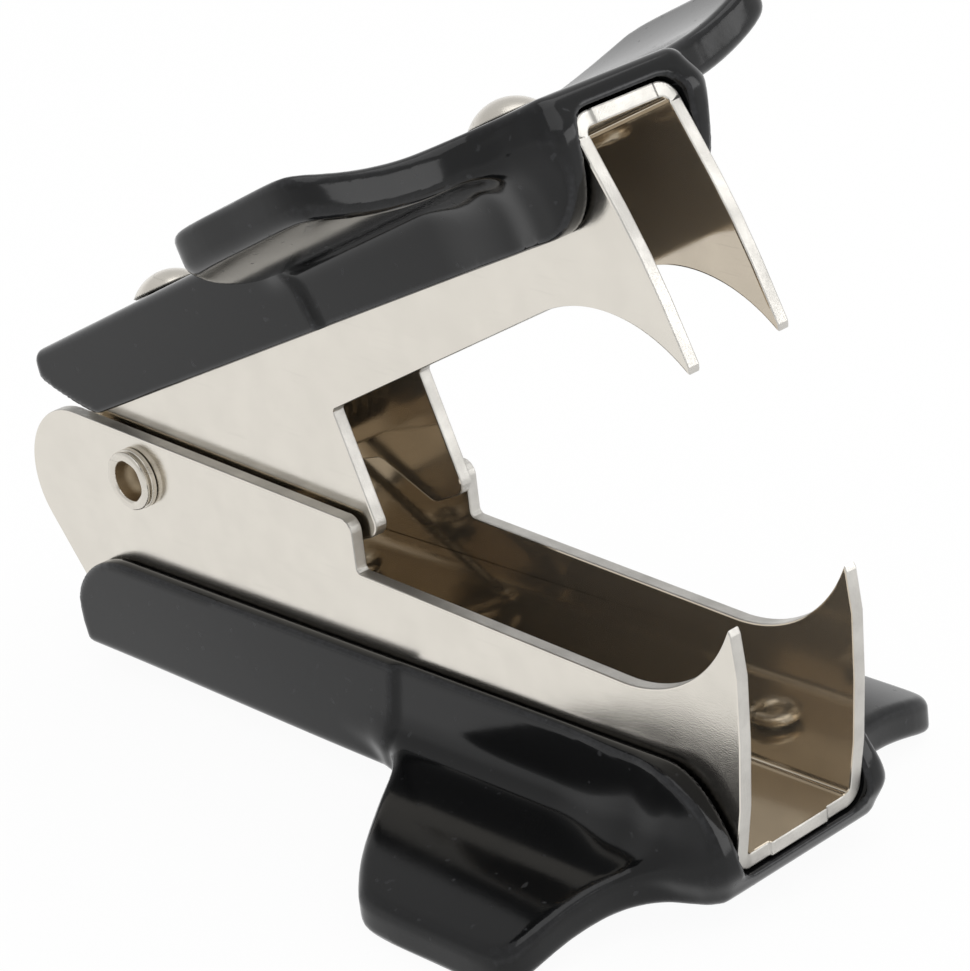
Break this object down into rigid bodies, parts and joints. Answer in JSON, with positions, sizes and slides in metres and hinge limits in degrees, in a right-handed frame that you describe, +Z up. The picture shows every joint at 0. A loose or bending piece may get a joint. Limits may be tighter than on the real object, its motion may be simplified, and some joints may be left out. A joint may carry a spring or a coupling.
{
  "type": "staple remover",
  "caption": "Jaw-type staple remover: two nested fanged steel jaws on a hollow pivot rivet, held open by a torsion spring, with winged moulded finger grips.",
  "frame": {"origin": "centre of the object's footprint box, at the height of the surface it lies on", "axes": "+X forward from the pivot to the fangs, +Y across the jaws along the pivot axis, +Z up"},
  "size_m": [0.061, 0.0362, 0.0453],
  "materials": {
    "jaw_steel": "nickel plated sheet steel: satin outer walls, mirror bright inner walls, sheared bright edges",
    "grip_plastic": "black moulded plastic, semi-gloss with soft highlights",
    "rivet_steel": "nickel plated tubular rivets, polished domes",
    "spring_steel": "drawn spring wire, lightly oiled"
  },
  "bodies": {
    "lower": {"lower_jaw": "jaw_steel", "lower_grip": "grip_plastic", "lower_front_rivet": "rivet_steel", "lower_rear_rivet": "rivet_steel", "pivot_rivet": "rivet_steel", "torsion_spring": "spring_steel"},
    "upper": {"upper_jaw": "jaw_steel", "upper_grip": "grip_plastic", "upper_front_rivet": "rivet_steel", "upper_rear_rivet": "rivet_steel"}
  },
  "joints": [
    {"name": "jaw_pivot", "type": "hinge", "parent": "lower", "child": "upper", "pos_m": [-0.01954, 0, 0.01458], "axis": [0, 1, 0], "range_deg": [0, 22], "stiffness_Nm_per_rad": 0.3, "springref_deg": -17.19, "deforming": ["torsion_spring"]}
  ]
}
